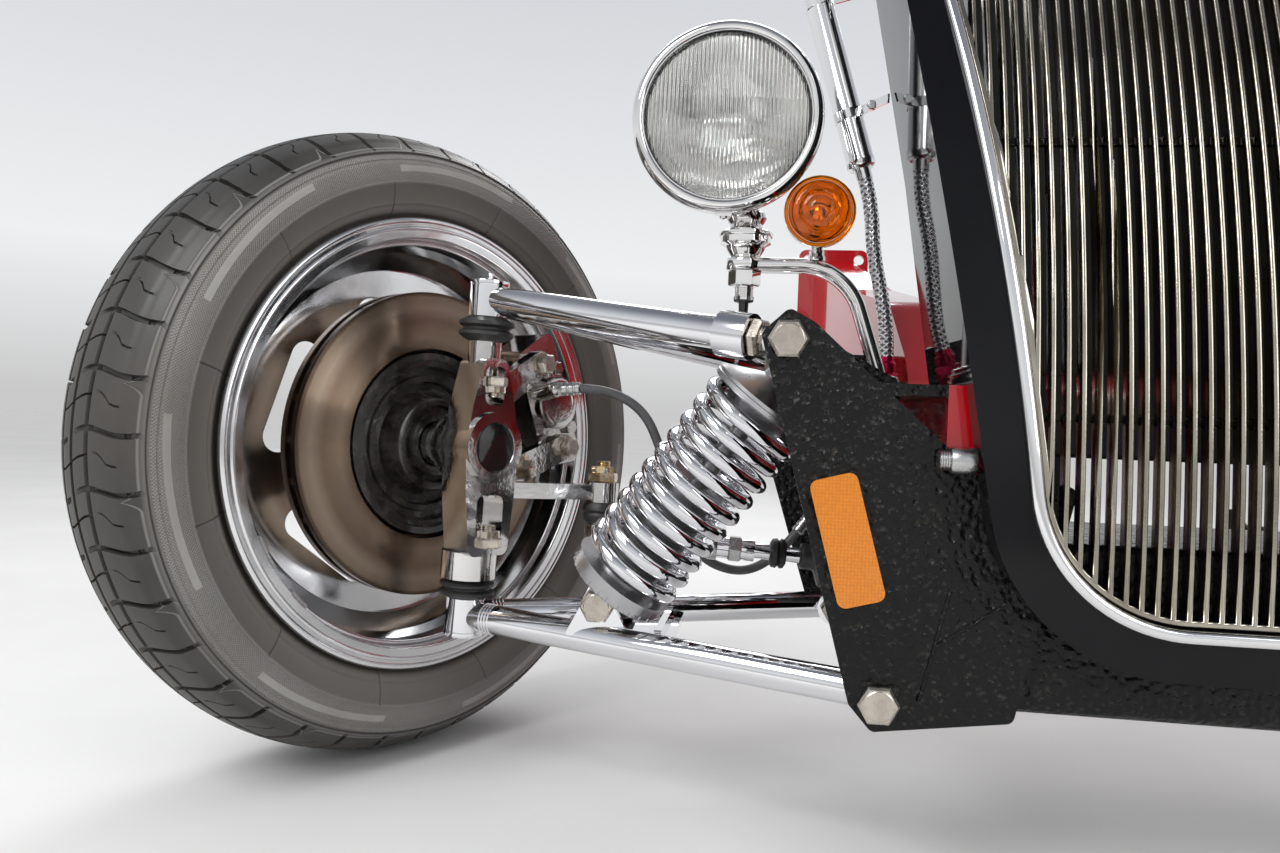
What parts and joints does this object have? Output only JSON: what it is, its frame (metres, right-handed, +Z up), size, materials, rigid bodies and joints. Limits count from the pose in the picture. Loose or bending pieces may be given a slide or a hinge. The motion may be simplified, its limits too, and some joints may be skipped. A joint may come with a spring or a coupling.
{
  "type": "front end of a hot rod, cut off behind the front suspension",
  "caption": "Hot rod front end: wheels on double A-arms with coil-overs and rack steering, grille shell, radiator, lamps and front frame rails.",
  "frame": {"origin": "midway between the two splice flanges' rear faces, at their middle height, on the car's centreline", "axes": "+X to the car's left, +Y rearward, +Z up"},
  "size_m": [1.7806, 0.8121, 0.9307],
  "materials": {
    "tyre_rubber": "matte",
    "alloy": "polished",
    "rotor_steel": "turned",
    "polished_forging": "polished",
    "caliper": "polished",
    "chrome": "mirror",
    "red_paint": "gloss",
    "lamp_chrome": "mirror",
    "hose_rubber": "satin",
    "damper_metal": "satin",
    "spring_chrome": "mirror",
    "crinkle_black": "crinkle",
    "boot_rubber": "satin",
    "bolt_nickel": "satin",
    "lens_glass": "clear, fluted",
    "amber_lens": "clear",
    "amber_reflector": "prismatic",
    "housing_metal": "satin",
    "bar_steel": "ground",
    "gloss_black": "high gloss",
    "trim_chrome": "mirror",
    "grille_brass": "polished",
    "radiator_black": "matte",
    "braided_steel": "braided",
    "red_fitting": "anodised"
  },
  "bodies": {
    "chassis": {"ball_boots": "boot_rubber", "brake_hose_left": "hose_rubber", "brake_hose_right": "hose_rubber", "crossmember": "crinkle_black", "dampers": "damper_metal", "drain_fitting": "red_fitting", "drain_hose": "braided_steel", "front_plates": "crinkle_black", "grille": "grille_brass", "grille_shell": "gloss_black", "grille_trim": "trim_chrome", "headlamp_left": "lamp_chrome", "headlamp_right": "lamp_chrome", "hose_fittings": "bolt_nickel", "lamp_lenses": "lens_glass", "lamp_stays": "lamp_chrome", "lower_arm_left": "chrome", "lower_arm_right": "chrome", "overflow_tank": "trim_chrome", "pivot_bolts": "bolt_nickel", "rack_bellows": "boot_rubber", "rack_housing": "housing_metal", "radiator": "radiator_black", "radiator_baffle": "radiator_black", "rail_left": "red_paint", "rail_right": "red_paint", "rear_plates": "crinkle_black", "reflectors": "amber_reflector", "signal_lenses": "amber_lens", "signals": "lamp_chrome", "springs": "spring_chrome", "towers": "crinkle_black", "upper_arm_left": "chrome", "upper_arm_right": "chrome"},
    "knuckle_right": {"knuckle_right": "polished_forging", "caliper_right": "caliper"},
    "knuckle_left": {"knuckle_left": "polished_forging", "caliper_left": "caliper"},
    "wheel_right": {"tyre_right": "tyre_rubber", "wheel_right": "alloy", "hub_cap_right": "alloy", "rotor_right": "rotor_steel"},
    "wheel_left": {"tyre_left": "tyre_rubber", "wheel_left": "alloy", "hub_cap_left": "alloy", "rotor_left": "rotor_steel"},
    "rack": {"rack_bar": "bar_steel"},
    "tie_rod_right": {"tie_rod_right": "chrome"},
    "tie_rod_left": {"tie_rod_left": "chrome"}
  },
  "joints": [
    {"name": "steer_right", "type": "hinge", "parent": "chassis", "child": "knuckle_right", "pos_m": [-0.5925, -0.488, -0.176], "axis": [0.0436, 0, 0.999], "range_deg": [-3, 67], "deforming": ["brake_hose_right"]},
    {"name": "steer_left", "type": "hinge", "parent": "chassis", "child": "knuckle_left", "pos_m": [0.5925, -0.488, -0.176], "axis": [-0.0436, 0, 0.999], "range_deg": [-3.2, 67.2], "deforming": ["brake_hose_left"]},
    {"name": "rack_slide", "type": "slide", "parent": "chassis", "child": "rack", "axis": [-1, 0, 0], "range_m": [-0.0055, 0.117], "deforming": ["rack_bellows"]},
    {"name": "tie_rod_right_swing", "type": "hinge", "parent": "rack", "child": "tie_rod_right", "pos_m": [-0.24265, -0.408, -0.272], "axis": [0, 0, 1], "range_deg": [-17, 1]},
    {"name": "tie_rod_left_swing", "type": "hinge", "parent": "rack", "child": "tie_rod_left", "pos_m": [0.35735, -0.408, -0.272], "axis": [0, 0, 1], "range_deg": [-13, 1]},
    {"name": "spin_right", "type": "hinge", "parent": "knuckle_right", "child": "wheel_right", "pos_m": [-0.6943, -0.42447, -0.1768], "axis": [-0.8483, 0.5294, -0.0066], "continuous": true},
    {"name": "spin_left", "type": "hinge", "parent": "knuckle_left", "child": "wheel_left", "pos_m": [0.6943, -0.55153, -0.1768], "axis": [0.8483, -0.5294, -0.0066], "continuous": true}
  ],
  "couplings": [
    {"joint": "steer_left", "follows": "steer_right", "ratio": 1},
    {"joint": "rack_slide", "follows": "steer_right", "m_per_rad": 0.0995},
    {"joint": "tie_rod_right_swing", "follows": "steer_right", "ratio": -0.25},
    {"joint": "tie_rod_left_swing", "follows": "steer_right", "ratio": -0.19}
  ]
}
